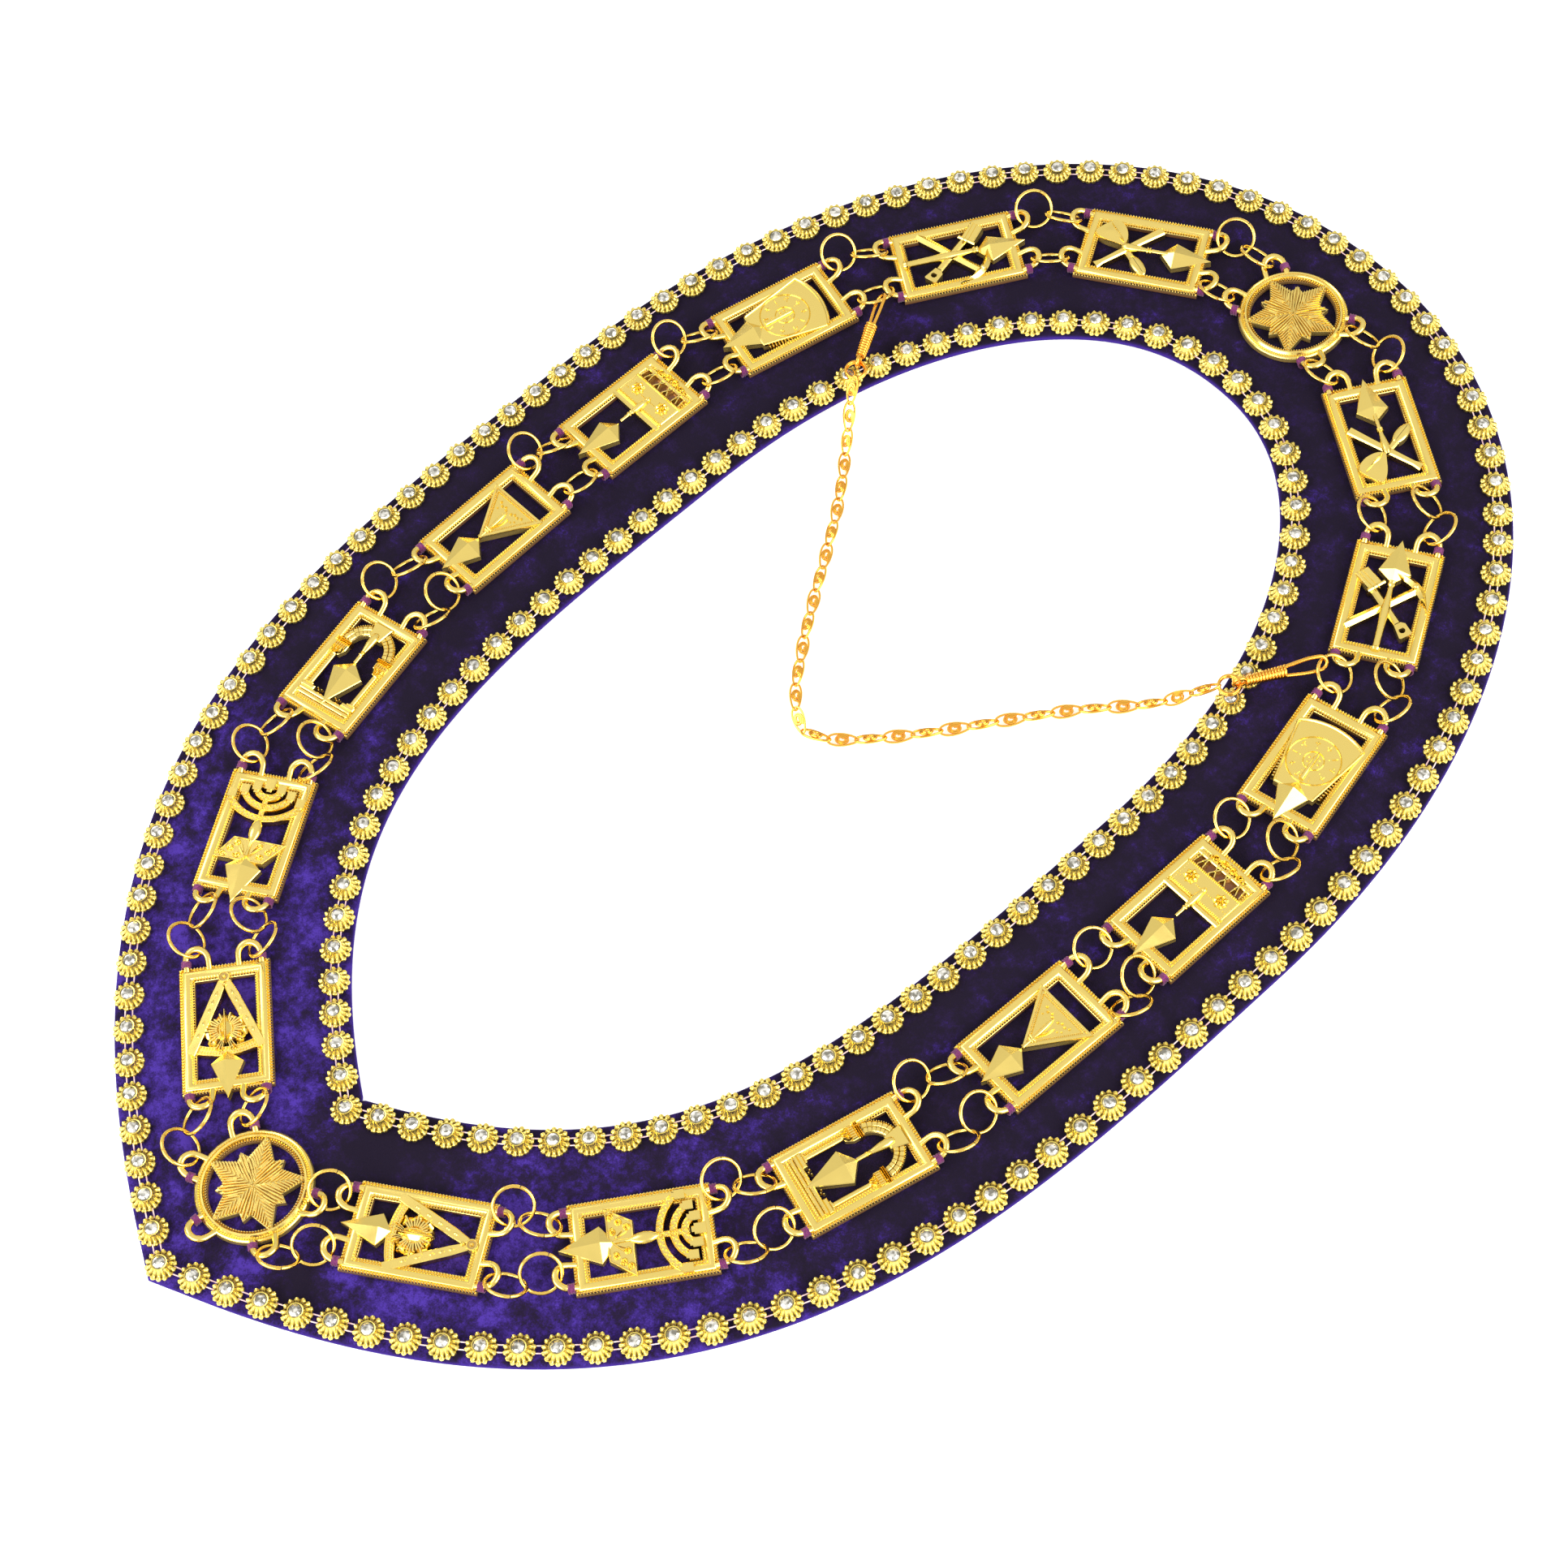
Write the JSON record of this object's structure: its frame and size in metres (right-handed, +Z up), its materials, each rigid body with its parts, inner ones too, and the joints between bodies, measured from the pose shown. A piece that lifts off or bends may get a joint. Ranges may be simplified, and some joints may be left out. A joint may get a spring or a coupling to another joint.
{
  "type": "masonic chain collar",
  "caption": "Ceremonial chain collar: gold-coloured emblem plates joined by jump rings on a pointed velvet band with stone trim and a hooked safety chain.",
  "frame": {"origin": "centre of the bounding box in plan, on the surface that the collar lies on", "axes": "+Y from the collar's point to its neck, +Z up out of the face with the plates, +X to the collar's right side as seen from above with the neck at the top"},
  "size_m": [0.3436, 0.5466, 0.0137],
  "materials": {
    "velvet": "deep purple crushed velvet",
    "trim_gold": "gold-plated filigree settings",
    "cast_gold": "cast alloy with bright gold plate",
    "ring_gold": "gold-plated wire",
    "chain_gold": "gold-plated fancy chain",
    "clasp_gold": "gold-plated spring wire",
    "clear_stone": "faceted clear glass",
    "tie_thread": "purple sewing thread"
  },
  "bodies": {
    "root": {"velvet_band": "velvet", "outer_trim": "trim_gold", "inner_trim": "trim_gold", "plate_right_compasses": "cast_gold", "plate_right_candelabrum": "cast_gold", "plate_right_arch": "cast_gold", "plate_right_triangle": "cast_gold", "plate_right_chest": "cast_gold", "plate_right_keystone": "cast_gold", "plate_right_mallet": "cast_gold", "plate_right_shovel": "cast_gold", "plate_left_compasses": "cast_gold", "plate_left_candelabrum": "cast_gold", "plate_left_arch": "cast_gold", "plate_left_triangle": "cast_gold", "plate_left_chest": "cast_gold", "plate_left_keystone": "cast_gold", "plate_left_mallet": "cast_gold", "plate_left_shovel": "cast_gold", "point_disc": "cast_gold", "neck_disc": "cast_gold", "rings_right_outer_1": "ring_gold", "rings_right_outer_2": "ring_gold", "rings_right_outer_3": "ring_gold", "rings_right_outer_4": "ring_gold", "rings_right_outer_5": "ring_gold", "rings_right_outer_6": "ring_gold", "rings_right_outer_7": "ring_gold", "rings_right_outer_8": "ring_gold", "rings_right_outer_9": "ring_gold", "rings_right_inner_1": "ring_gold", "rings_right_inner_2": "ring_gold", "rings_right_inner_3": "ring_gold", "rings_right_inner_4": "ring_gold", "rings_right_inner_5": "ring_gold", "rings_right_inner_6": "ring_gold", "rings_right_inner_7": "ring_gold", "rings_right_inner_8": "ring_gold", "rings_right_inner_9": "ring_gold", "rings_left_outer_1": "ring_gold", "rings_left_outer_2": "ring_gold", "rings_left_outer_3": "ring_gold", "rings_left_outer_4": "ring_gold", "rings_left_outer_5": "ring_gold", "rings_left_outer_6": "ring_gold", "rings_left_outer_7": "ring_gold", "rings_left_outer_8": "ring_gold", "rings_left_outer_9": "ring_gold", "rings_left_inner_1": "ring_gold", "rings_left_inner_2": "ring_gold", "rings_left_inner_3": "ring_gold", "rings_left_inner_4": "ring_gold", "rings_left_inner_5": "ring_gold", "rings_left_inner_6": "ring_gold", "rings_left_inner_7": "ring_gold", "rings_left_inner_8": "ring_gold", "rings_left_inner_9": "ring_gold", "safety_chain": "chain_gold", "left_clasp": "clasp_gold", "right_clasp": "clasp_gold"}
  },
  "joints": []
}
